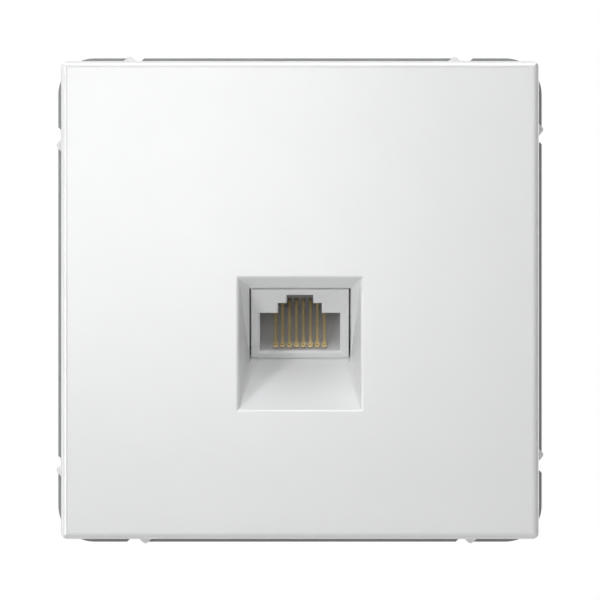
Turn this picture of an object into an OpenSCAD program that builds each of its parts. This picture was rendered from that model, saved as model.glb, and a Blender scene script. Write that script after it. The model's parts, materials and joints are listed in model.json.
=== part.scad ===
// Flush data socket for a wall box, in millimetres.
// X runs to the right, Y into the wall and Z up, from the middle of the support plate's rear face.

/* [Front cover] */
// Width and height of the square cover
cover_w = 69.8; // [64:0.1:84]
// How far the cover stands in front of the support plate
cover_h = 9.5; // [8:0.1:12]
// Radius of the cover's front edges and corners
edge_r = 1; // [0.6:0.1:1.5]
// Thickness of the front wall
front_wall = 1.8; // [1.2:0.1:2.4]
// Thickness of the skirt
skirt_wall = 1.6; // [1.2:0.1:2.2]
// Width of the stiffening ribs behind the front wall
rib_w = 1; // [0.7:0.1:1.5]
// Height of the stiffening ribs
rib_h = 2; // [1:0.1:3]
// Distance of the stiffening ribs from the middle
rib_x = 24; // [22:0.5:27]

/* [Side bumps] */
// Distance that each bump stands proud of the skirt
bump_proud = 0.73; // [0.5:0.01:0.9]
// Width of a bump at its base
bump_w = 2; // [1.4:0.1:2.4]
// Radius of a bump's tip
bump_tip_r = 0.45; // [0.3:0.05:0.5]
// Length of a bump along the skirt
bump_len = 2.4; // [1.5:0.1:4]
// Distance from the skirt's rear edge to the bump
bump_back = 0.8; // [0.5:0.1:2]
// Distance from the corner to the bump that lies nearer to it
bump_near_corner = 9.94; // [8:0.01:11]
// Distance from the corner to the bump that lies further from it
bump_far_corner = 12.27; // [11.5:0.01:14]

/* [Plug recess] */
// Wall thickness round the recess
recess_wall = 1.3; // [1:0.1:1.6]
// How much the side walls lean in
recess_side_slope = 1.35; // [1:0.05:2]
// How much the top wall leans in
recess_top_slope = 1.45; // [1:0.05:2.2]
// Width of the narrow ledge between the recess's walls and the jack's cut-out
cut_ledge = 0.15; // [0.1:0.05:0.3]
// Height of the scoop below the jack
scoop_rise = 7.68; // [6:0.01:10]
// Radius of the scoop's inner corners
scoop_r = 1.5; // [1:0.1:2]
// Radius of the recess's rim in the front face
rim_r = 0.6; // [0.3:0.05:0.7]
// Length of the collar round the jack's nose
collar_len = 1.2; // [0.8:0.1:1.4]

/* [Snap hooks] */
// Distance of the hooks from the middle, sideways
hook_x = 19.5; // [19:0.1:21]
// Distance of the hooks from the middle, up and down
hook_z = 19; // [17:0.1:20]
// Width of a hook
hook_w = 5; // [4:0.1:6]
// Thickness of a hook's arm
hook_t = 1.2; // [1:0.1:1.5]
// Overhang of a hook's barb
hook_barb = 0.8; // [0.6:0.1:1]
// Length of a hook's barb
hook_barb_len = 1.6; // [1.2:0.1:2.2]

/* [Support plate] */
// Thickness of the sheet
plate_t = 1; // [0.8:0.1:1.2]
// How far the plate stands out beyond the cover
plate_margin = 0.55; // [0.2:0.05:0.7]
// Corner radius of the plate
plate_r = 5.3; // [3:0.1:7]
// Width of the edge notches
notch_w = 1.5; // [1:0.1:2]
// Depth of the edge notches
notch_d = 1.2; // [1:0.1:1.5]
// Bevel at the mouth of a notch
notch_bevel = 0.5; // [0.2:0.1:0.7]
// Distance of the notches from midway between the bumps
notch_shift = 0.3; // [0:0.05:0.5]
// Distance between opposite box screws
box_screw_pitch = 60; // [56:0.5:62]
// Width of a box screw slot
box_slot_w = 3.6; // [3.2:0.1:4.2]
// End to end length of a box screw slot
box_slot_len = 7; // [5:0.5:7]
// Half the width of the plate's middle window
window_x = 11.5; // [11:0.1:12]
// Half the height of the plate's middle window
window_z = 13; // [12:0.1:13.5]

/* [Jack] */
// Angle at which the port faces down
jack_tilt = 33; // [28:0.5:36]
// Depth of the middle of the jack's face behind the cover's front
jack_depth = 5.28; // [5:0.01:5.6]
// Height of the middle of the jack's face below the cover's middle
jack_drop = 3.34; // [2:0.01:4]
// Width of the jack's nose
nose_w = 14.26; // [13.8:0.02:15]
// Height of the jack's nose
nose_h = 11.8; // [11.4:0.1:12.4]
// Gap at each side of the nose
nose_side_gap = 0.27; // [0.15:0.01:0.4]
// Gap above and below the nose
nose_end_gap = 0.12; // [0.1:0.01:0.3]
// Distance from the jack's face to the body's shoulder
nose_len = 3.4; // [3:0.1:4]
// Length of the jack from its face to the circuit board
jack_len = 15.2; // [14.5:0.1:16.5]
// Extra thickness of the body at each side of the nose
body_side = 0.27; // [0.2:0.01:0.5]
// Extra thickness of the body below the nose
body_below = 0.9; // [0.7:0.1:1.2]
// Extra thickness of the body above the nose
body_above = 1.2; // [0.8:0.1:1.6]
// Distance from the body's shoulder to its side latches
latch_back = 5; // [4:0.1:6]
// Length of a side latch
latch_len = 2.4; // [2:0.1:3]
// Distance that a side latch stands out
latch_out = 0.7; // [0.4:0.05:0.9]
// Length of a side latch's flat end
latch_flat = 0.48; // [0.3:0.02:0.8]
// Half the height of a side latch
latch_v = 2; // [1.5:0.1:2.5]
// Radius of the pegs that hold the circuit board
peg_r = 0.7; // [0.5:0.05:0.75]

/* [Port] */
// Width of the port for the plug's body
port_w = 11.74; // [11.6:0.01:12]
// Height of the port for the plug's body
port_h = 6.61; // [6.5:0.01:6.9]
// Thickness of the floor below the port
port_floor = 1; // [0.8:0.1:1.2]
// Width of the first step for the plug's latch
step_w = 6.36; // [6:0.01:6.6]
// Height of the first step
step_h = 1.72; // [1.4:0.01:1.9]
// Width of the second step
key_w = 3.86; // [3.4:0.01:4.2]
// Height of the second step
key_h = 1.4; // [1:0.01:1.6]
// Depth of the port from the face
port_depth = 11.8; // [11:0.1:12.5]
// Thickness of the wall behind which the plug's latch catches
catch_wall = 1.8; // [1.4:0.1:2.2]
// Bevel round the port
port_bevel = 0.25; // [0.1:0.05:0.35]

/* [Contacts] */
// Number of contacts
contact_count = 8; // [8]
// Distance between contacts
contact_pitch = 1.02; // [0.98:0.01:1.06]
// Width of a contact's strip
contact_w = 0.38; // [0.3:0.02:0.44]
// Thickness of a contact's strip
contact_t = 0.25; // [0.2:0.01:0.3]
// Rise of the strips above the port's floor at the back
contact_rise = 1.15; // [0.8:0.05:1.6]
// Rise of the eyelets above the port's floor
eyelet_rise = 0.3; // [0.2:0.05:0.4]
// Distance from the jack's face to the eyelets
eyelet_back = 1.25; // [1:0.05:1.5]
// Outer radius of the eyelet at a contact's tip
eyelet_r = 0.36; // [0.3:0.01:0.4]
// Radius of the hole in the eyelet
eyelet_hole_r = 0.16; // [0.1:0.01:0.18]
// Length over which the eyelet narrows to the strip
eyelet_neck = 1.1; // [0.7:0.1:1.4]
// Depth of the grooves in the port's floor below the eyelets
groove_d = 0.4; // [0.2:0.05:0.5]
// Room in front of and behind an eyelet in its groove
groove_room = 0.3; // [0.2:0.05:0.5]
// Step from the port's side wall to the insert behind it
insert_side = 0.4; // [0.3:0.05:0.6]
// Height of the insert above the port's top
insert_above = 0.6; // [0.4:0.1:0.8]
// Height of the slots for the strips in the insert
insert_slot_h = 1; // [0.8:0.1:1.2]

/* [Terminals] */
// Thickness of the circuit board
board_t = 1.2; // [1:0.1:1.6]
// Half the width of the circuit board
board_x = 8.6; // [8.4:0.1:9.4]
// Half the height of the circuit board
board_v = 9.6; // [9.4:0.1:10.5]
// Corner radius of the circuit board
board_r = 0.8; // [0.4:0.1:1]
// Height of a terminal block along the board
block_h = 6; // [5:0.1:6.4]
// Distance of each terminal block's middle from the board's middle
block_v = 6.2; // [5.8:0.1:6.3]
// Length of a terminal block behind the board
block_len = 9; // [8:0.1:12]
// Distance between wires
wire_pitch = 4; // [3.9:0.05:4.1]
// Width of a wire slot
wire_slot = 1.5; // [1.2:0.1:1.8]
// Depth of a wire slot
wire_slot_d = 6; // [5:0.1:7]
// Size of the slanting lead-in at the mouth of a wire slot
wire_lead = 0.8; // [0.4:0.05:0.9]
// Thickness of a terminal block beyond its outer wire
block_side = 2.2; // [1.9:0.1:2.4]
// Width of a blade
blade_w = 3; // [2.6:0.1:3.1]
// Thickness of a blade
blade_t = 0.5; // [0.4:0.05:0.6]
// Gap between a blade's prongs
blade_gap = 0.4; // [0.3:0.05:0.6]
// Depth of the V between a blade's prongs
blade_v_d = 1.2; // [0.8:0.1:1.6]
// Distance from the block's end to its blades
blade_inset = 1; // [0.8:0.1:1.4]
// Distance from the board to the shoulders of a blade
blade_shoulder = 0.6; // [0.4:0.1:1]
// Width of a blade's tail
blade_tail_w = 0.7; // [0.5:0.05:0.8]
// Radius of the board's holes for the blades' tails
blade_hole_r = 0.5; // [0.5:0.01:0.6]
// Radius of the board's holes for the contacts' tails
contact_hole_r = 0.35; // [0.3:0.01:0.4]

/* [Carrier] */
// Half the width of the carrier's flange
flange_x = 16.5; // [16.2:0.1:17]
// Half the height of the carrier's flange
flange_z = 18; // [17.8:0.1:19]
// Thickness of the carrier's flange
flange_t = 2; // [1.5:0.1:2.4]
// Corner radius of the carrier's flange
flange_r = 2; // [1:0.1:3]
// Wall thickness of the sleeve round the jack
sleeve_wall = 1.6; // [1.2:0.1:1.8]
// Radius of the stakes that hold the carrier to the plate
stake_r = 1.25; // [1:0.05:1.5]
// Distance of the stakes from the middle, sideways
stake_x = 14; // [13.8:0.1:14.2]
// Distance of the stakes from the middle, up and down
stake_z = 15.5; // [15.3:0.1:15.8]
// Overhang of a stake's formed head
stake_head = 0.75; // [0.5:0.05:1]
// Height of a stake's formed head
stake_head_h = 0.7; // [0.5:0.05:0.9]
// Thickness of the ears that carry the hinge pins
ear_t = 2.5; // [2:0.1:3]
// Radius of the ears round the hinge pins
ear_r = 2.1; // [1.9:0.05:2.2]
// Gap between an ear and the claw
ear_gap = 0.3; // [0.2:0.05:0.4]
// Distance from the sleeve's end to the circuit board
sleeve_short = 0.5; // [0.3:0.1:1]

/* [Claws] */
// Distance of the claw screws from the middle
claw_screw_x = 21; // [20.5:0.1:21.5]
// Distance of the claws' hinge pins from the middle
claw_pin_x = 14; // [13.8:0.1:14.2]
// Distance of the hinge pins behind the wall plane
claw_pin_y = 7; // [6.8:0.1:7.6]
// Radius of a hinge pin
claw_pin_r = 1; // [0.8:0.05:1.1]
// Width of a claw
claw_w = 9.8; // [8:0.1:10.4]
// Thickness of the claws' sheet
claw_t = 1.2; // [1:0.1:1.4]
// Distance of a claw's outer face from the middle
claw_out_x = 26.6; // [26:0.1:27]
// Length of a claw's leg behind its arm
claw_leg = 13.4; // [10:0.1:16]
// Length of the teeth at the end of a claw
claw_tooth = 1.6; // [1:0.1:2]
// Number of teeth on a claw
claw_teeth = 4; // [3:1:6]
// Thread radius of a claw screw
claw_screw_r = 1.5; // [1.3:0.05:1.6]
// Length of a claw screw's shank
claw_screw_len = 17; // [15:0.5:20]
// Head radius of a claw screw
claw_head_r = 2.75; // [2.4:0.05:3]
// Head height of a claw screw
claw_head_h = 1.8; // [1.4:0.1:2.2]
// Width of a claw nut
claw_nut_w = 5.5; // [5:0.1:5.6]
// Thickness of a claw nut
claw_nut_t = 2.4; // [1.8:0.1:2.8]
// Length of the arms of the cross in a claw screw's head
cross_len = 3.2; // [2.4:0.1:3.6]
// Width of the arms of the cross
cross_w = 0.8; // [0.6:0.05:1]
// Depth of the cross
cross_d = 1.1; // [0.8:0.1:1.2]

/* [Clearances] */
// Round parts that turn
turn_gap = 0.05; // [0.03:0.01:0.08]
// Parts that are pushed together
seat_gap = 0.05; // [0.03:0.01:0.1]
// Parts that pass through one another
pass_gap = 0.2; // [0.15:0.01:0.25]
// Each claw's nut and the arm that it pulls
nut_gap = 0.25; // [0.25:0.01:0.35]

/* [Hidden] */
$fn = 48;
SCOOP_FN = 24;
RIM_FLATS = 5;
SKIN = 0.01;
OVER = 1;

plate_front = -plate_t;
plate_w = cover_w + 2 * plate_margin;
cover_front = plate_front - cover_h;
cover_inside = cover_front + front_wall;
bump_near = cover_w / 2 - bump_near_corner;
bump_far = cover_w / 2 - bump_far_corner;
notch_at = (bump_near + bump_far) / 2 + notch_shift;

jack_y = cover_front + jack_depth;
jack_z = -jack_drop;
cut_x = nose_w / 2 + nose_side_gap;
cut_v = nose_h / 2 + nose_end_gap;
deep_x = cut_x + cut_ledge;
deep_v = cut_v + cut_ledge;
sill_y = jack_y + sin(jack_tilt) * deep_v;
sill_z = jack_z - cos(jack_tilt) * deep_v;
lintel_z = jack_z + cos(jack_tilt) * deep_v;
recess_x = deep_x + recess_side_slope;
recess_top = lintel_z + recess_top_slope;
recess_bottom = sill_z - scoop_rise;
scoop_angle = atan2(scoop_rise, sill_y - cover_front);
side_angle = atan2(recess_side_slope, sill_y - cover_front);
lintel_y = jack_y - sin(jack_tilt) * deep_v;
top_angle = atan2(recess_top_slope, lintel_y - cover_front);
scoop_y = sill_y - scoop_r * sin(scoop_angle);
scoop_z = sill_z + scoop_r * cos(scoop_angle);

face_w = -pass_gap;
body_w = face_w + nose_len;
board_w = face_w + jack_len;
body_x = nose_w / 2 + body_side;
body_v0 = -nose_h / 2 - body_below;
body_v1 = nose_h / 2 + body_above;
port_v0 = -nose_h / 2 + port_floor;
port_v1 = port_v0 + port_h;
step_v1 = port_v1 + step_h;
key_v1 = step_v1 + key_h;
port_end = face_w + port_depth;
insert_x = port_w / 2 - insert_side;
insert_v1 = port_v1 + insert_above;
peg_x = (insert_x + body_x) / 2;
latch_w0 = body_w + latch_back;

tip_w = face_w + eyelet_back;
tip_v = port_v0 + eyelet_rise;
strip_end_v = port_v0 + contact_rise;
strip_slope = atan2(strip_end_v - tip_v, port_end - tip_w);
strip_end_w = port_end + contact_w;
tail_v = tip_v + (strip_end_w - tip_w) * tan(strip_slope);
tail_end_w = board_w + board_t - pass_gap;

block_w = board_w + board_t;
block_end = block_w + block_len;
row_count = contact_count / 2;
block_x = wire_x(row_count) + block_side;

sleeve_end = board_w - sleeve_short;
sleeve_x = body_x + seat_gap;
sleeve_v0 = body_v0 - seat_gap;
sleeve_v1 = body_v1 + seat_gap;
ear_z = claw_w / 2 + ear_gap;
arm_back = claw_pin_y + claw_t / 2;
nut_front = arm_back + nut_gap;
knuckle_r = claw_pin_r + turn_gap + claw_t;

function numbered(name, count) = [for (i = [1 : count]) str(name, "_", i)];
SIDES = ["left", "right"];

// Shared shapes

// A block between two opposite corners
module box(low, high) {
    translate(low) cube(high - low);
}

// A sheet cut to a flat outline, with its rear face on the wall plane
module sheet(t) {
    rotate([90, 0, 0]) linear_extrude(t) children();
}

// The jack's own frame: Y runs along the plug's path into the jack and Z up its face
module in_jack() {
    translate([0, jack_y, jack_z]) rotate([jack_tilt, 0, 0]) children();
}

// A rectangle with round corners, from half its width and half its height
module round_outline(x, y, r) {
    square(2 * [x - r, y], center = true);
    square(2 * [x, y - r], center = true);
    for (i = [-1, 1], j = [-1, 1]) translate([i * (x - r), j * (y - r)]) circle(r);
}

// An outline with round ends along X
module slot_outline(len, w) {
    square([len - w, w], center = true);
    for (s = [-1, 1]) translate([s * (len - w) / 2, 0]) circle(w / 2);
}

// Repeats a shape on the four sides of the cover or plate
module on_four_sides() {
    for (i = [0 : 3]) rotate([0, 90 * i, 0]) children();
}

// Puts a shape made for the right side on the named side
module on_side(side) {
    mirror([side == "left" ? 1 : 0, 0, 0]) children();
}

// Front cover

// Bar with two round front edges, as long as the cover
module round_front_bar() {
    linear_extrude(cover_w + 2 * OVER, center = true) {
        translate([-cover_w / 2, cover_front + edge_r]) square([cover_w, cover_h - edge_r]);
        translate([-cover_w / 2 + edge_r, cover_front]) square([cover_w - 2 * edge_r, cover_h]);
        for (s = [-1, 1]) translate([s * (cover_w / 2 - edge_r), cover_front + edge_r]) circle(edge_r);
    }
}

module cover_shell() {
    half_inside = cover_w / 2 - skirt_wall;
    difference() {
        intersection() {
            round_front_bar();
            rotate([0, 90, 0]) round_front_bar();
            translate([0, plate_front, 0]) sheet(cover_h) round_outline(cover_w / 2, cover_w / 2, edge_r);
        }
        box([-half_inside, cover_inside, -half_inside], [half_inside, plate_front + OVER, half_inside]);
    }
}

// One snap bump on the cover's upper side
module bump(x) {
    tip_h = bump_proud - bump_tip_r;
    reach = sqrt(pow(bump_w / 2, 2) + pow(tip_h, 2));
    lean = atan2(tip_h, bump_w / 2) + asin(bump_tip_r / reach);
    flank = sqrt(pow(reach, 2) - pow(bump_tip_r, 2));
    flank_x = bump_w / 2 - flank * cos(lean);
    flank_h = flank * sin(lean);
    base = [bump_w / 2, 0];
    translate([x, plate_front - bump_back, cover_w / 2]) sheet(bump_len) {
        polygon([
            [-base.x, -skirt_wall / 2], [base.x, -skirt_wall / 2], base,
            [flank_x, flank_h], [-flank_x, flank_h], [-base.x, 0]
        ]);
        translate([0, tip_h]) circle(bump_tip_r);
    }
}

// Outside of the walls round the recess: from the front wall to the end of the collar
module recess_outside() {
    grow = recess_wall;
    front = cover_front + front_wall / 2;
    hull() {
        box([-recess_x - grow, front, recess_bottom - grow],
            [recess_x + grow, cover_inside, recess_top + grow]);
        in_jack() box([-cut_x - grow, 0, -cut_v - grow], [cut_x + grow, collar_len, cut_v + grow]);
    }
}

// The recess: from the front face to the jack's sloping face, with a scoop below the jack
// whose side corners are round at the deep end and sharp at the front face
module recess_inside() {
    hull() {
        box([-recess_x, cover_front - OVER, recess_bottom], [recess_x, cover_front, recess_top]);
        in_jack() box([-deep_x, -OVER, -deep_v / 3], [deep_x, 0, deep_v]);
        for (s = [-1, 1]) translate([s * (deep_x - scoop_r), scoop_y, scoop_z])
            rotate([90 + scoop_angle, 0, 0]) cylinder(h = OVER, r = scoop_r, $fn = SCOOP_FN);
    }
}

// How far one flat of the rounded rim lies outside the recess's edge at a depth behind the front face,
// on a wall that leans in by an angle: flat 0 would be the wall and flat RIM_FLATS + 1 the front face
function rim_out(wall_angle, flat, depth) =
    let (a = wall_angle + (90 - wall_angle) * flat / (RIM_FLATS + 1))
    rim_r * tan(45 - wall_angle / 2) - (rim_r + sin(a) * (depth - rim_r)) / cos(a);

// A thin slab across the recess, as wide as one flat of the rim at that depth
module rim_slab(flat, depth) {
    x = recess_x + rim_out(side_angle, flat, depth);
    z0 = recess_bottom - rim_out(scoop_angle, flat, depth);
    z1 = recess_top + rim_out(top_angle, flat, depth);
    box([-x, cover_front + depth - SKIN, z0], [x, cover_front + depth, z1]);
}

// Rounded rim where the recess meets the front face, with mitred corners
module recess_rim() {
    for (i = [1 : RIM_FLATS]) hull() {
        rim_slab(i, rim_r);
        rim_slab(i, -rim_r / (i + 1));
    }
}

// One hook that reaches through the support plate, at the upper right
module hook() {
    z0 = hook_z - hook_w / 2;
    box([hook_x - hook_t, cover_inside - SKIN, z0], [hook_x, seat_gap + hook_barb_len, z0 + hook_w]);
    translate([hook_x, seat_gap, z0]) linear_extrude(hook_w)
        polygon([[-hook_t / 2, 0], [hook_barb, 0], [hook_barb, hook_barb_len / 4], [0, hook_barb_len],
            [-hook_t / 2, hook_barb_len]]);
}

module front_cover() {
    color("white") difference() {
        union() {
            cover_shell();
            on_four_sides() {
                bump(-bump_near);
                bump(bump_far);
            }
            recess_outside();
            for (x = [0, 1], z = [0, 1]) mirror([x, 0, 0]) mirror([0, 0, z]) hook();
            for (s = [-1, 1]) box([s * rib_x - rib_w / 2, cover_inside - SKIN, -cover_w / 2 + skirt_wall / 2],
                [s * rib_x + rib_w / 2, cover_inside + rib_h, cover_w / 2 - skirt_wall / 2]);
        }
        recess_inside();
        recess_rim();
        in_jack() box([-cut_x, -2 * scoop_r, -cut_v], [cut_x, collar_len + OVER, cut_v]);
    }
}

// Support plate

module notch_outline(at) {
    mouth = notch_w / 2 + notch_bevel;
    translate([at, plate_w / 2]) polygon([
        [-mouth - OVER, OVER], [-mouth, 0], [-notch_w / 2, -notch_bevel], [-notch_w / 2, -notch_d],
        [notch_w / 2, -notch_d], [notch_w / 2, -notch_bevel], [mouth, 0], [mouth + OVER, OVER]
    ]);
}

module hook_slot_outline() {
    translate([hook_x - hook_t - hook_barb, hook_z - hook_w / 2 - pass_gap])
        square([hook_t + hook_barb + pass_gap, hook_w + 2 * pass_gap]);
}

module support_plate() {
    color("silver") sheet(plate_t) difference() {
        round_outline(plate_w / 2, plate_w / 2, plate_r);
        square(2 * [window_x, window_z], center = true);
        for (i = [0 : 3]) rotate(90 * i) {
            for (at = [-notch_at, notch_at]) notch_outline(at);
            translate([box_screw_pitch / 2, 0]) slot_outline(box_slot_len, box_slot_w);
        }
        for (x = [0, 1], y = [0, 1]) mirror([x, 0]) mirror([0, y]) {
            translate([stake_x, stake_z]) circle(stake_r + seat_gap);
            hook_slot_outline();
        }
        for (s = [-1, 1]) translate([s * claw_screw_x, 0]) circle(claw_screw_r + pass_gap);
    }
}

// Module carrier

// Stake with its formed head in front of the support plate
module stake() {
    rotate([90, 0, 0]) {
        translate([0, 0, -flange_t / 2]) cylinder(h = plate_t + seat_gap + flange_t / 2, r = stake_r);
        translate([0, 0, plate_t + seat_gap])
            cylinder(h = stake_head_h, r1 = stake_r + stake_head, r2 = stake_r);
    }
}

// Pair of ears that carry a claw's hinge pin, on the right side
module claw_ears() {
    for (z = [ear_z, -ear_z - ear_t]) translate([claw_pin_x, 0, z]) linear_extrude(ear_t) difference() {
        union() {
            translate([-ear_r, flange_t / 2]) square([2 * ear_r, claw_pin_y - flange_t / 2]);
            translate([0, claw_pin_y]) circle(ear_r);
        }
        translate([0, claw_pin_y]) circle(claw_pin_r + SKIN);
    }
}

module module_carrier() {
    out_x = sleeve_x + sleeve_wall;
    collar_x = cut_x + recess_wall + seat_gap;
    collar_v = cut_v + recess_wall + seat_gap;
    color("gainsboro") difference() {
        union() {
            translate([0, flange_t, 0]) sheet(flange_t) round_outline(flange_x, flange_z, flange_r);
            intersection() {
                box([-flange_x, 0, -flange_z], [flange_x, flange_z * 2, flange_z]);
                in_jack() box([-out_x, -flange_z, sleeve_v0 - sleeve_wall],
                    [out_x, sleeve_end, sleeve_v1 + sleeve_wall]);
            }
            for (x = [-1, 1], z = [-1, 1]) translate([x * stake_x, 0, z * stake_z]) stake();
            for (s = SIDES) on_side(s) claw_ears();
        }
        in_jack() {
            lip_v = -nose_h / 2 - pass_gap;
            box([-sleeve_x, body_w - seat_gap, sleeve_v0], [sleeve_x, sleeve_end + OVER, sleeve_v1]);
            box([-sleeve_x, -flange_z, lip_v], [sleeve_x, body_w, sleeve_v1]);
            box([-out_x - OVER, latch_w0 - seat_gap, -latch_v - pass_gap],
                [out_x + OVER, latch_w0 + latch_len + pass_gap, latch_v + pass_gap]);
            // Ways for the cover's collar and for the board with its blocks
            box([-collar_x, -flange_z, -collar_v], [collar_x, collar_len + seat_gap, collar_v]);
            box([-board_x - seat_gap, board_w - seat_gap, -board_v - seat_gap],
                [board_x + seat_gap, block_w + block_len + OVER, board_v + seat_gap]);
        }
    }
}

// Jack

// One step of the port: a straight way in with a bevelled mouth
module port_step(w, v0, v1, depth) {
    x = w / 2;
    b = port_bevel;
    box([-x, face_w - OVER, v0], [x, depth, v1]);
    hull() {
        box([-x - b, face_w - SKIN, v0 - b], [x + b, face_w, v1 + b]);
        box([-x, face_w, v0], [x, face_w + b, v1]);
    }
}

// Wedge that snaps into the sleeve's side window, on the right side
module jack_latch() {
    root = -OVER / 2;
    translate([body_x, latch_w0, -latch_v]) linear_extrude(2 * latch_v) polygon([
        [root, 0], [0, 0], [latch_out, latch_len - latch_flat], [latch_out, latch_len], [root, latch_len]
    ]);
}

module jack_housing() {
    color("whitesmoke") in_jack() difference() {
        union() {
            box([-nose_w / 2, face_w, -nose_h / 2], [nose_w / 2, body_w + OVER, nose_h / 2]);
            box([-body_x, body_w, body_v0], [body_x, board_w, body_v1]);
            for (s = SIDES) on_side(s) jack_latch();
            for (s = [-1, 1]) translate([s * peg_x, board_w - OVER, 0]) rotate([-90, 0, 0])
                cylinder(h = OVER + board_t, r = peg_r);
        }
        port_step(port_w, port_v0, port_v1, port_end);
        port_step(step_w, port_v1 - port_bevel, step_v1, port_end);
        port_step(key_w, step_v1 - port_bevel, key_v1, port_end);
        box([-step_w / 2, face_w + catch_wall, port_v1], [step_w / 2, port_end, key_v1]);
        box([-insert_x, port_end - SKIN, port_v0], [insert_x, board_w + OVER, insert_v1]);
        for (i = [1 : contact_count]) translate([contact_x(i), 0, 0])
            box([-eyelet_r - seat_gap, tip_w - eyelet_r - groove_room, port_v0 - groove_d],
                [eyelet_r + seat_gap, tip_w + eyelet_neck + groove_room, port_v0 + SKIN]);
    }
}

function contact_x(i) = (i - (contact_count + 1) / 2) * contact_pitch;

// Flat outline of a spring strip along Y: an eyelet whose flanks run off its round end into the strip
module strip_outline(len) {
    neck = [contact_w / 2, eyelet_neck];
    lean = atan2(neck.y, neck.x) - acos(eyelet_r / norm(neck));
    flank = eyelet_r * [cos(lean), sin(lean)];
    difference() {
        union() {
            circle(eyelet_r);
            polygon([flank, neck, [-neck.x, neck.y], [-flank.x, flank.y]]);
            translate([-contact_w / 2, 0]) square([contact_w, len]);
        }
        circle(eyelet_hole_r);
    }
}

// One spring strip: an eyelet at the front, a sloping run and a straight tail into the board
module contact(i) {
    color("goldenrod") in_jack() translate([contact_x(i), 0, 0]) {
        translate([0, tip_w, tip_v]) rotate([strip_slope, 0, 0]) linear_extrude(contact_t, center = true)
            strip_outline((strip_end_w - tip_w) / cos(strip_slope));
        box([-contact_w / 2, strip_end_w - contact_t / 2, tail_v - contact_t / 2],
            [contact_w / 2, tail_end_w, tail_v + contact_t / 2]);
    }
}

module contact_insert() {
    slot_x = contact_w / 2 + seat_gap;
    slot_v = strip_end_v - insert_slot_h / 2;
    color("dimgray") in_jack() difference() {
        box([-insert_x + seat_gap, port_end, port_v0 + seat_gap], [insert_x - seat_gap, board_w - seat_gap,
            insert_v1 - seat_gap]);
        for (i = [1 : contact_count]) translate([contact_x(i), 0, 0])
            box([-slot_x, port_end - OVER, slot_v], [slot_x, board_w + OVER, slot_v + insert_slot_h]);
    }
}

// Terminals

function wire_x(i) = ((i - 1) % row_count - (row_count - 1) / 2) * wire_pitch;
function wire_side(i) = i > row_count ? -1 : 1;

module circuit_board() {
    drill = board_t + 2 * OVER;
    color("darkgreen") in_jack() difference() {
        translate([0, block_w, 0]) sheet(board_t) round_outline(board_x, board_v, board_r);
        for (i = [1 : contact_count]) {
            translate([contact_x(i), board_w - OVER, tail_v]) rotate([-90, 0, 0])
                cylinder(h = drill, r = contact_hole_r);
            translate([wire_x(i), board_w - OVER, wire_side(i) * block_v]) rotate([-90, 0, 0])
                cylinder(h = drill, r = blade_hole_r);
        }
        for (s = [-1, 1]) translate([s * peg_x, board_w - OVER, 0]) rotate([-90, 0, 0])
            cylinder(h = drill, r = peg_r + seat_gap);
    }
}

// Row of wire slots with slanting mouths, crossed by the pockets of their blades
module terminal_block(side) {
    v = side * block_v;
    half = wire_slot / 2;
    mouth = half + wire_lead + OVER;
    color("white") in_jack() difference() {
        box([-block_x, block_w, v - block_h / 2], [block_x, block_end, v + block_h / 2]);
        for (i = [1 : row_count]) translate([wire_x(i), 0, v]) {
            linear_extrude(2 * block_h, center = true) polygon([
                [-half, block_end - wire_slot_d], [half, block_end - wire_slot_d],
                [half, block_end - wire_lead], [mouth, block_end + OVER],
                [-mouth, block_end + OVER], [-half, block_end - wire_lead]
            ]);
            box([-blade_w / 2 - seat_gap, block_w - OVER, -blade_t / 2 - seat_gap],
                [blade_w / 2 + seat_gap, block_end - blade_inset + pass_gap, blade_t / 2 + seat_gap]);
        }
    }
}

module terminal_block_upper() {
    terminal_block(1);
}

module terminal_block_lower() {
    terminal_block(-1);
}

// One forked blade with a tail in the board
module idc_blade(i) {
    shoulder_w = block_w + blade_shoulder;
    end_w = block_end - blade_inset;
    gap_w = block_end - wire_slot_d + blade_gap;
    color("lightgray") in_jack() translate([wire_x(i), 0, wire_side(i) * block_v])
        linear_extrude(blade_t, center = true) difference() {
            union() {
                translate([-blade_w / 2, shoulder_w]) square([blade_w, end_w - shoulder_w]);
                translate([-blade_tail_w / 2, board_w]) square([blade_tail_w, shoulder_w - board_w + SKIN]);
            }
            translate([-blade_gap / 2, gap_w]) square([blade_gap, block_len]);
            polygon([[0, end_w - blade_v_d], [wire_slot / 2, end_w + SKIN], [-wire_slot / 2, end_w + SKIN]]);
        }
}

// Claws, pins, screws and nuts

// Bent strip seen along the hinge: knuckle, arm and leg
module claw_outline() {
    bend_r = 2 * claw_t;
    translate([claw_pin_x, claw_pin_y]) circle(knuckle_r);
    translate([claw_pin_x, arm_back - claw_t]) square([claw_out_x - bend_r - claw_pin_x, claw_t]);
    translate([claw_out_x - claw_t, arm_back - claw_t + bend_r]) square([claw_t, claw_leg - bend_r + claw_t]);
    translate([claw_out_x - bend_r, arm_back - claw_t + bend_r]) intersection() {
        difference() {
            circle(bend_r);
            circle(bend_r - claw_t);
        }
        translate([0, -bend_r]) square(bend_r);
    }
}

module claw(side) {
    tooth_w = claw_w / claw_teeth;
    slot_x0 = claw_screw_x - claw_screw_r - OVER;
    slot_x1 = claw_out_x - 2 * claw_t;
    slot_z = claw_screw_r + pass_gap + 2 * seat_gap;
    color("darkgray") on_side(side) {
        difference() {
            linear_extrude(claw_w, center = true) claw_outline();
            translate([claw_pin_x, claw_pin_y, 0])
                cylinder(h = claw_w + OVER, r = claw_pin_r + turn_gap, center = true);
            box([slot_x0, 0, -slot_z], [slot_x1, nut_front, slot_z]);
        }
        for (k = [0 : claw_teeth - 1])
            translate([claw_out_x - claw_t / 2, arm_back + claw_leg, -claw_w / 2 + k * tooth_w])
                rotate([90, 0, 0]) linear_extrude(claw_t)
                    polygon([[0, 0], [claw_t / 2 + claw_tooth, tooth_w / 2], [0, tooth_w]]);
    }
}

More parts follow.
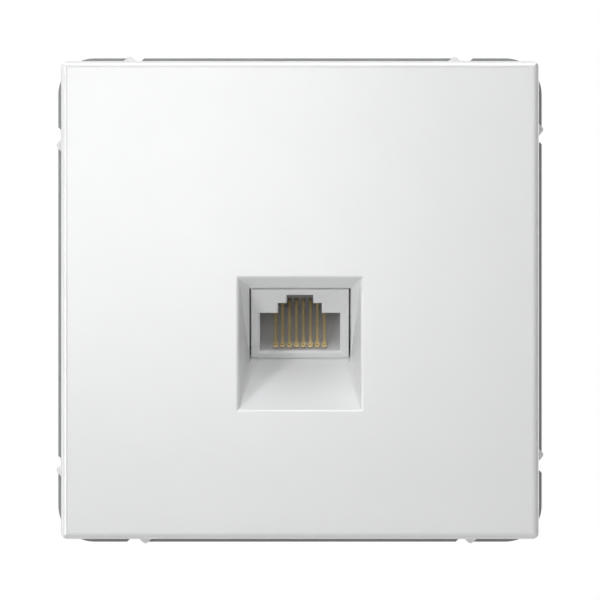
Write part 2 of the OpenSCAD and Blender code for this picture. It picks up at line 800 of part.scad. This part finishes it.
module claw_pin(side) {
    half = ear_z + ear_t;
    color("silver") on_side(side) translate([claw_pin_x, claw_pin_y, 0])
        cylinder(h = 2 * half, r = claw_pin_r, center = true);
}

module claw_screw(side) {
    head_y = plate_front - seat_gap;
    color("silver") on_side(side) translate([claw_screw_x, head_y, 0]) difference() {
        rotate([-90, 0, 0]) {
            cylinder(h = claw_screw_len, r = claw_screw_r);
            translate([0, 0, -claw_head_h]) cylinder(h = claw_head_h, r = claw_head_r);
        }
        for (a = [0, 90]) rotate([0, a, 0]) box([-cross_len / 2, -claw_head_h - OVER, -cross_w / 2],
            [cross_len / 2, -claw_head_h + cross_d, cross_w / 2]);
    }
}

module claw_nut(side) {
    half = claw_nut_w / 2;
    color("silver") on_side(side) translate([claw_screw_x, nut_front, 0]) difference() {
        box([-half, 0, -half], [half, claw_nut_t, half]);
        rotate([-90, 0, 0]) translate([0, 0, -OVER])
            cylinder(h = claw_nut_t + 2 * OVER, r = claw_screw_r + turn_gap);
    }
}

front_cover();
support_plate();
module_carrier();
jack_housing();
contact_insert();
circuit_board();
terminal_block_upper();
terminal_block_lower();
for (i = [1 : contact_count]) {
    contact(i);
    idc_blade(i);
}
for (s = SIDES) {
    claw(s);
    claw_pin(s);
    claw_screw(s);
    claw_nut(s);
}
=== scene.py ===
"""Looks for a flush data socket: finishes, fine detail, light and camera, in metres."""
import json
import math

import bpy
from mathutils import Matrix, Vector


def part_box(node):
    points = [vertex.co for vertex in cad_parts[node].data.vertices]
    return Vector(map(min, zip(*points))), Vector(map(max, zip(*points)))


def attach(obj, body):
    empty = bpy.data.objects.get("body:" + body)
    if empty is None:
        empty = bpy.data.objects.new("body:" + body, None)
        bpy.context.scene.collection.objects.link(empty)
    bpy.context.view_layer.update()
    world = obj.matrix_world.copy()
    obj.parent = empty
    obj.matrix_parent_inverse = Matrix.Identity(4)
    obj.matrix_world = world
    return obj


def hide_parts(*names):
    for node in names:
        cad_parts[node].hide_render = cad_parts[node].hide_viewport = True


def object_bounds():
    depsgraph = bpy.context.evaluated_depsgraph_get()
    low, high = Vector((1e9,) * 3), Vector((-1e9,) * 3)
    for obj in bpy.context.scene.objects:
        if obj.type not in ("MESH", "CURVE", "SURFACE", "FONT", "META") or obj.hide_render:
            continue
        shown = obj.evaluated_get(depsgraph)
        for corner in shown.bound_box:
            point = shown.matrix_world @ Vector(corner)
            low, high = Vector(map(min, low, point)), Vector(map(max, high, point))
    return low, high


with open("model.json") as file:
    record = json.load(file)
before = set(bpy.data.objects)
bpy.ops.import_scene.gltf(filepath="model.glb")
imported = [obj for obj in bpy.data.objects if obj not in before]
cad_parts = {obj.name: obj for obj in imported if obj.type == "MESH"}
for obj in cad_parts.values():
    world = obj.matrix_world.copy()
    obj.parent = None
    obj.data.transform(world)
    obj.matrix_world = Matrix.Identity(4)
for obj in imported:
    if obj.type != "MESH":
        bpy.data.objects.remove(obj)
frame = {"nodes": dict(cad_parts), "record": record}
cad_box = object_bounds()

MM = 0.001
SIDES = ("left", "right")
# Numbers of the contacts and of the blades
WAYS = range(1, 9)
nodes = frame["nodes"]
slot_of = {part["node"]: part["material_slot"] for part in frame["record"]["subparts"]}


# Node helpers

# Parts of the noise's range that gloss and tone are spread over
GLOSS_LOW = 0.3
GLOSS_HIGH = 0.7
TONE_LOW = 0.35
TONE_HIGH = 0.65


def shader(name):
    """A new material with its tree and its shader."""
    mat = bpy.data.materials.new(name)
    mat.use_nodes = True
    tree = mat.node_tree
    return mat, tree, tree.nodes["Principled BSDF"]


def noise(tree, grain_mm, detail, stretch=(1, 1, 1)):
    """Noise whose blobs are about grain_mm across, drawn out along an axis by stretch."""
    coords = tree.nodes.new("ShaderNodeTexCoord")
    mapping = tree.nodes.new("ShaderNodeMapping")
    mapping.inputs["Scale"].default_value = [1 / s for s in stretch]
    texture = tree.nodes.new("ShaderNodeTexNoise")
    texture.inputs["Scale"].default_value = 1 / (grain_mm * MM)
    texture.inputs["Detail"].default_value = detail
    tree.links.new(coords.outputs["Object"], mapping.inputs["Vector"])
    tree.links.new(mapping.outputs["Vector"], texture.inputs["Vector"])
    return texture.outputs["Fac"]


def tones(tree, fac, color, tone):
    """A colour that noise darkens by up to the share tone."""
    ramp = tree.nodes.new("ShaderNodeValToRGB")
    dark, full = ramp.color_ramp.elements
    dark.position = TONE_LOW
    full.position = TONE_HIGH
    dark.color = (*[c * (1 - tone) for c in color], 1)
    full.color = (*color, 1)
    tree.links.new(fac, ramp.inputs["Fac"])
    return ramp.outputs["Color"]


def uneven_gloss(tree, bsdf, fac, rough, uneven):
    """Roughness that noise varies up and down by the share uneven."""
    node = tree.nodes.new("ShaderNodeMapRange")
    node.inputs["From Min"].default_value = GLOSS_LOW
    node.inputs["From Max"].default_value = GLOSS_HIGH
    node.inputs["To Min"].default_value = rough * (1 - uneven)
    node.inputs["To Max"].default_value = rough * (1 + uneven)
    tree.links.new(fac, node.inputs["Value"])
    tree.links.new(node.outputs["Result"], bsdf.inputs["Roughness"])


def fine_relief(tree, bsdf, height, depth_mm):
    """Relief too fine to model, from a height texture."""
    node = tree.nodes.new("ShaderNodeBump")
    node.inputs["Distance"].default_value = depth_mm * MM
    tree.links.new(height, node.inputs["Height"])
    tree.links.new(node.outputs["Normal"], bsdf.inputs["Normal"])


# Materials, one for each slot of the record

FLOW_MM = 9
FLOW_DETAIL = 2
SKIN_DETAIL = 3
GRAIN_DETAIL = 5
METAL_UNEVEN = 0.2
# Reach of the painted shade that darkens the metals' colour in crevices
PAINTED_SHADE_MM = 0.25

finishes = {}


def plastic(slot, color, rough, tone=0.012, grain_mm=0.5, relief_mm=0.002, uneven=0.1, shine=0.5):
    """Moulded plastic: faint flow marks in its tone, uneven gloss and a fine skin."""
    mat, tree, bsdf = shader(slot)
    bsdf.inputs["Specular IOR Level"].default_value = shine
    flow = noise(tree, FLOW_MM, FLOW_DETAIL)
    tree.links.new(tones(tree, flow, color, tone), bsdf.inputs["Base Color"])
    skin = noise(tree, grain_mm, SKIN_DETAIL)
    uneven_gloss(tree, bsdf, skin, rough, uneven)
    fine_relief(tree, bsdf, skin, relief_mm)
    finishes[slot] = mat


def metal(slot, color, rough, tone=0.12, grain_mm=0.15, relief_mm=0.003, stretch=(1, 1, 1), metallic=1):
    """Plated metal: rolled or drawn grain that varies its tone and gloss, and painted shade that darkens
    its colour in crevices.
    """
    mat, tree, bsdf = shader(slot)
    bsdf.inputs["Metallic"].default_value = metallic
    grain = noise(tree, grain_mm, GRAIN_DETAIL, stretch)
    # Painted shade: ambient occlusion darkens the base colour in crevices and holes, where shade falls
    crevice_shade_painted = tree.nodes.new("ShaderNodeAmbientOcclusion")
    crevice_shade_painted.inputs["Distance"].default_value = PAINTED_SHADE_MM * MM
    tree.links.new(tones(tree, grain, color, tone), crevice_shade_painted.inputs["Color"])
    tree.links.new(crevice_shade_painted.outputs["Color"], bsdf.inputs["Base Color"])
    uneven_gloss(tree, bsdf, grain, rough, METAL_UNEVEN)
    fine_relief(tree, bsdf, grain, relief_mm)
    finishes[slot] = mat


plastic("cover_plastic", (0.79, 0.795, 0.8), 0.22, grain_mm=3, relief_mm=0.0002, uneven=0.02, shine=1)
plastic("carrier_plastic", (0.62, 0.63, 0.64), 0.5)
plastic("jack_plastic", (0.78, 0.785, 0.79), 0.4)
plastic("insert_plastic", (0.42, 0.42, 0.43), 0.5)
plastic("terminal_plastic", (0.8, 0.8, 0.79), 0.42)
plastic("board_laminate", (0.015, 0.11, 0.045), 0.3, tone=0.2)
metal("plate_steel", (0.22, 0.225, 0.23), 0.42, tone=0.08, stretch=(14, 1, 1))
metal("claw_steel", (0.52, 0.53, 0.54), 0.36, stretch=(1, 1, 10))
metal("screw_steel", (0.58, 0.58, 0.58), 0.28)
metal("contact_gold", (1, 0.79, 0.4), 0.28, tone=0.03, grain_mm=0.05, relief_mm=0.0001,
      stretch=(1, 8, 6), metallic=0.1)
metal("blade_tin", (0.62, 0.62, 0.61), 0.35)


def dress(obj, slot):
    """Gives a piece the finish of its slot."""
    obj.data.materials.clear()
    obj.data.materials.append(finishes[slot])


for name, obj in nodes.items():
    dress(obj, slot_of[name])


# Softened edges on the CAD pieces

EDGE_MM = {
    "support_plate": 0.12,
    "module_carrier": 0.15,
    "jack_housing": 0.14,
    "circuit_board": 0.08,
    "terminal_block_upper": 0.15,
    "terminal_block_lower": 0.15,
}
for side in SIDES:
    EDGE_MM[f"claw_{side}"] = 0.12
    EDGE_MM[f"claw_nut_{side}"] = 0.2
    EDGE_MM[f"claw_pin_{side}"] = 0.1
for way in WAYS:
    EDGE_MM[f"idc_blade_{way}"] = 0.06
EDGE_ANGLE = math.radians(32)
EDGE_SEGMENTS = 2
FLAT_ANGLE = math.radians(0.5)
LARGE_FACE_WEIGHT = 100
WELD_MM = 0.002

# The contacts: a wider weld takes up the narrow facet at their bend
CONTACT_EDGE_MM = 0.04
CONTACT_WELD_MM = 0.012

# The cover's recess: its folds stay crisp and only its square edges are rounded
COVER_EDGE_MM = 0.12
FOLD_ANGLE = math.radians(22)
SQUARE_ANGLE = math.radians(85)


def even_out(obj):
    """Shading that follows the large faces, so that a flat face stays flat beside a rounded edge."""
    even = obj.modifiers.new("even", "WEIGHTED_NORMAL")
    even.mode = "FACE_AREA"
    even.weight = LARGE_FACE_WEIGHT
    even.keep_sharp = True


def soften(obj, width_mm, edge_angle=EDGE_ANGLE, weld_mm=WELD_MM):
    """Welds the split corners, rounds the sharp edges and keeps flat faces flat in the shading."""
    obj.data.shade_smooth()
    weld = obj.modifiers.new("weld", "WELD")
    weld.merge_threshold = weld_mm * MM
    flat = obj.modifiers.new("flat", "DECIMATE")
    flat.decimate_type = "DISSOLVE"
    flat.angle_limit = FLAT_ANGLE
    edge = obj.modifiers.new("edge", "BEVEL")
    edge.width = width_mm * MM
    edge.segments = EDGE_SEGMENTS
    edge.limit_method = "ANGLE"
    edge.angle_limit = edge_angle
    edge.use_clamp_overlap = True
    even_out(obj)


def crisp_folds(obj):
    """Keeps the shading apart at folds, so that each rim of the recess shines along its whole length."""
    mesh = obj.data
    corner = [tuple(round(c / (WELD_MM * MM)) for c in v.co) for v in mesh.vertices]
    normals_at = {}
    for face in mesh.polygons:
        for a, b in face.edge_keys:
            normals_at.setdefault(frozenset((corner[a], corner[b])), []).append(face.normal)
    for edge in mesh.edges:
        a, b = edge.vertices
        normals = normals_at[frozenset((corner[a], corner[b]))]
        edge.use_edge_sharp = FOLD_ANGLE < normals[0].angle(normals[-1], 0) < SQUARE_ANGLE


for name, width_mm in EDGE_MM.items():
    soften(nodes[name], width_mm)
for way in WAYS:
    soften(nodes[f"contact_{way}"], CONTACT_EDGE_MM, weld_mm=CONTACT_WELD_MM)
soften(nodes["front_cover"], COVER_EDGE_MM, SQUARE_ANGLE)
crisp_folds(nodes["front_cover"])


# Threads on the claw screws

THREAD_PITCH = 0.5 * MM
THREAD_DEPTH = 0.27 * MM
# Share of the thread's rise that is flat at the crest, and again at the root
THREAD_FLAT = 0.15
PLAIN_NECK = 1.2 * MM
TIP_CHAMFER = 0.35 * MM
HEAD_ROUND = 0.35 * MM
CROSS_LENGTH = 3.2 * MM
CROSS_WIDTH = 0.8 * MM
CROSS_DEPTH = 1.1 * MM
END_TOLERANCE = 0.01 * MM
SCREW_STEPS = 40
PITCH_STEPS = 10
ROUND_STEPS = 5
SHARP_ANGLE = math.radians(60)
QUARTER_TURNS = ((1, 0), (0, 1), (-1, 0), (0, -1))


def ring_around(axis, y, radius_at):
    """A ring of points round an axis along Y; the angle runs from +Z to +X, as a turn about +Y does."""
    ring = []
    for k in range(SCREW_STEPS):
        turn = k / SCREW_STEPS
        angle = math.tau * turn
        r = radius_at(turn)
        ring.append((axis.x + r * math.sin(angle), y, axis.z + r * math.cos(angle)))
    return ring


def lofted(name, rings):
    """A closed mesh through rings of equal count, flat at both ends."""
    count = len(rings[0])
    points = [p for ring in rings for p in ring]
    faces = [tuple(reversed(range(count)))]
    for i in range(len(rings) - 1):
        for k in range(count):
            a, b = i * count + k, i * count + (k + 1) % count
            faces.append((a, b, b + count, a + count))
    faces.append(tuple(range(len(points) - count, len(points))))
    mesh = bpy.data.meshes.new(name)
    mesh.from_pydata(points, [], faces)
    obj = bpy.data.objects.new(name, mesh)
    bpy.context.scene.collection.objects.link(obj)
    return obj


def thread_radius(outer, y, start, end):
    """Radius of a right-hand thread against the turn: flat on crest and root, with a chamfered tip."""
    fade = min(1, (y - start) / THREAD_PITCH)
    tip = outer - max(0, TIP_CHAMFER - (end - y))

    def radius_at(turn):
        ridge = 1 - abs(2 * ((y / THREAD_PITCH - turn) % 1) - 1)
        height = min(1, max(0, (ridge - THREAD_FLAT) / (1 - 2 * THREAD_FLAT)))
        return min(tip, outer - THREAD_DEPTH * fade * (1 - height))
    return radius_at


def cut_cross(obj, axis, front):
    """Cuts the cross for the driver into the head's front face."""
    a, b = CROSS_LENGTH / 2, CROSS_WIDTH / 2
    arm = [(b, b), (a, b), (a, -b)]
    rings = []
    for y in (front - CROSS_DEPTH, front + CROSS_DEPTH):
        ring = []
        for c, s in QUARTER_TURNS:
            ring += [(axis.x + c * x + s * z, y, axis.z + c * z - s * x) for x, z in arm]
        rings.append(ring)
    cutter = lofted("cross_cutter", rings)
    cut = obj.modifiers.new("cross", "BOOLEAN")
    cut.operation = "DIFFERENCE"
    cut.solver = "EXACT"
    cut.object = cutter
    bpy.context.view_layer.update()
    shape = obj.evaluated_get(bpy.context.evaluated_depsgraph_get())
    mesh = bpy.data.meshes.new_from_object(shape)
    obj.modifiers.clear()
    obj.data = mesh
    bpy.data.objects.remove(cutter)


def threaded_screw(side):
    """A claw screw of the CAD screw's size, with its thread: rounded head, plain neck, thread and tip."""
    node = f"claw_screw_{side}"
    low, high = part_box(node)
    axis = (low + high) / 2
    reach = [(v.co.y, math.hypot(v.co.x - axis.x, v.co.z - axis.z)) for v in nodes[node].data.vertices]
    shank_r = max(r for y, r in reach if y > high.y - END_TOLERANCE)
    head_r = max(r for y, r in reach)
    head_back = max(y for y, r in reach if r > (shank_r + head_r) / 2)
    start = head_back + PLAIN_NECK

    def plain(y, r):
        return ring_around(axis, y, lambda turn: r)

    rings = []
    for k in range(ROUND_STEPS, -1, -1):
        angle = math.pi / 2 * k / ROUND_STEPS
        y = low.y + HEAD_ROUND * (1 - math.sin(angle))
        rings.append(plain(y, head_r - HEAD_ROUND * (1 - math.cos(angle))))
    rings += [plain(head_back, head_r), plain(head_back, shank_r)]
    rows = math.ceil((high.y - start) / THREAD_PITCH * PITCH_STEPS)
    for k in range(rows + 1):
        y = start + (high.y - start) * k / rows
        rings.append(ring_around(axis, y, thread_radius(shank_r, y, start, high.y)))
    piece = lofted(f"{node}_threaded", rings)
    cut_cross(piece, axis, low.y)
    piece.data.shade_smooth()
    piece.data.set_sharp_from_angle(angle=SHARP_ANGLE)
    even_out(piece)
    dress(piece, slot_of[node])
    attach(piece, node)
    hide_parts(node)


for side in SIDES:
    threaded_screw(side)


# Light, floor and camera

WHITE = (1, 1, 1, 1)
AMBIENT = 0.03
BACKDROP = 1
COVER_SIDE = (0, -0.01, 0)
WALL_SIDE = (0, 0.01, 0)
FLOOR_DROP = 0.12
FLOOR_SIZE = 2.4
FLOOR_COLOR = (0.8, 0.8, 0.8, 1)
FLOOR_ROUGH = 0.9
FLOOR_GLOW = 0.4
PHOTO_PIXELS = 600
PIXELS_PER_MM = 6.85
SENSOR_MM = 36
CAMERA_DISTANCE = 2
NEAREST_SEEN = 0.1
FARTHEST_SEEN = 10


def seen(tree):
    """1 where the camera sees the surroundings, also in a reflection or through glass."""
    rays = tree.nodes.new("ShaderNodeLightPath")
    shown = rays.outputs["Is Camera Ray"]
    for kind in ("Is Glossy Ray", "Is Transmission Ray"):
        either = tree.nodes.new("ShaderNodeMath")
        either.operation = "MAXIMUM"
        tree.links.new(shown, either.inputs[0])
        tree.links.new(rays.outputs[kind], either.inputs[1])
        shown = either.outputs[0]
    return shown


def world_light():
    """A faint even light, and white where the surroundings are seen."""
    world = bpy.data.worlds.new("studio")
    bpy.context.scene.world = world
    world.use_nodes = True
    tree = world.node_tree
    tree.nodes.clear()
    mix = tree.nodes.new("ShaderNodeMixShader")
    tree.links.new(seen(tree), mix.inputs["Fac"])
    for entry, strength in ((1, AMBIENT), (2, BACKDROP)):
        glow = tree.nodes.new("ShaderNodeBackground")
        glow.inputs["Color"].default_value = WHITE
        glow.inputs["Strength"].default_value = strength
        tree.links.new(glow.outputs[0], mix.inputs[entry])
    out = tree.nodes.new("ShaderNodeOutputWorld")
    tree.links.new(mix.outputs[0], out.inputs["Surface"])


def lamp(name, place, target, size, watts):
    """A square soft lamp that shines at a target."""
    data = bpy.data.lights.new(name, "AREA")
    data.size = size
    data.energy = watts
    obj = bpy.data.objects.new(name, data)
    bpy.context.scene.collection.objects.link(obj)
    obj.location = place
    obj.rotation_euler = (Vector(target) - Vector(place)).to_track_quat("-Z", "Y").to_euler()


def floor_plane():
    """A pale floor that keeps the shadow and is left out where it is seen from below."""
    mesh = bpy.data.meshes.new("floor")
    half = FLOOR_SIZE / 2
    corners = [(-half, -half, 0), (half, -half, 0), (half, half, 0), (-half, half, 0)]
    mesh.from_pydata(corners, [], [(0, 1, 2, 3)])
    obj = bpy.data.objects.new("floor", mesh)
    obj.location = (0, 0, -FLOOR_DROP)
    bpy.context.scene.collection.objects.link(obj)
    mat, tree, bsdf = shader("floor")
    bsdf.inputs["Base Color"].default_value = FLOOR_COLOR
    bsdf.inputs["Roughness"].default_value = FLOOR_ROUGH
    bsdf.inputs["Emission Color"].default_value = WHITE
    pale = tree.nodes.new("ShaderNodeMath")
    pale.operation = "MULTIPLY"
    pale.inputs[1].default_value = FLOOR_GLOW
    tree.links.new(seen(tree), pale.inputs[0])
    tree.links.new(pale.outputs[0], bsdf.inputs["Emission Strength"])
    below = tree.nodes.new("ShaderNodeNewGeometry")
    clear = tree.nodes.new("ShaderNodeBsdfTransparent")
    mix = tree.nodes.new("ShaderNodeMixShader")
    tree.links.new(below.outputs["Backfacing"], mix.inputs["Fac"])
    tree.links.new(bsdf.outputs[0], mix.inputs[1])
    tree.links.new(clear.outputs[0], mix.inputs[2])
    tree.links.new(mix.outputs[0], tree.nodes["Material Output"].inputs["Surface"])
    mesh.materials.append(mat)


def front_camera():
    """A far camera square to the cover, at the photo's scale on the cover's face."""
    front = cad_box[0].y
    data = bpy.data.cameras.new("camera")
    data.sensor_width = SENSOR_MM
    data.lens = SENSOR_MM * CAMERA_DISTANCE / (PHOTO_PIXELS / PIXELS_PER_MM * MM)
    data.clip_start = NEAREST_SEEN
    data.clip_end = FARTHEST_SEEN
    obj = bpy.data.objects.new("camera", data)
    bpy.context.scene.collection.objects.link(obj)
    obj.location = (0, front - CAMERA_DISTANCE, 0)
    obj.rotation_euler = (math.pi / 2, 0, 0)
    bpy.context.scene.camera = obj


world_light()
lamp("key", (-0.4, -0.46, 0.38), COVER_SIDE, size=0.1, watts=0.6)
lamp("left", (-0.6, -0.6, 0), COVER_SIDE, size=0.16, watts=1.25)
lamp("top", (0, -0.25, 0.45), COVER_SIDE, size=0.42, watts=1.85)
lamp("gloss", (-0.035, -0.5, 0.035), COVER_SIDE, size=0.1, watts=0.175)
lamp("left_edge", (-0.6, 0.05, 0), COVER_SIDE, size=0.25, watts=0.5)
lamp("top_edge", (0, 0.05, 0.6), COVER_SIDE, size=0.25, watts=0.22)
lamp("rear_key", (-0.4, 0.5, 0.38), WALL_SIDE, size=0.7, watts=1.25)
lamp("rear_fill", (0.5, 0.6, 0.1), WALL_SIDE, size=0.6, watts=1.4)
floor_plane()
front_camera()
bpy.context.scene.view_settings.view_transform = "Standard"
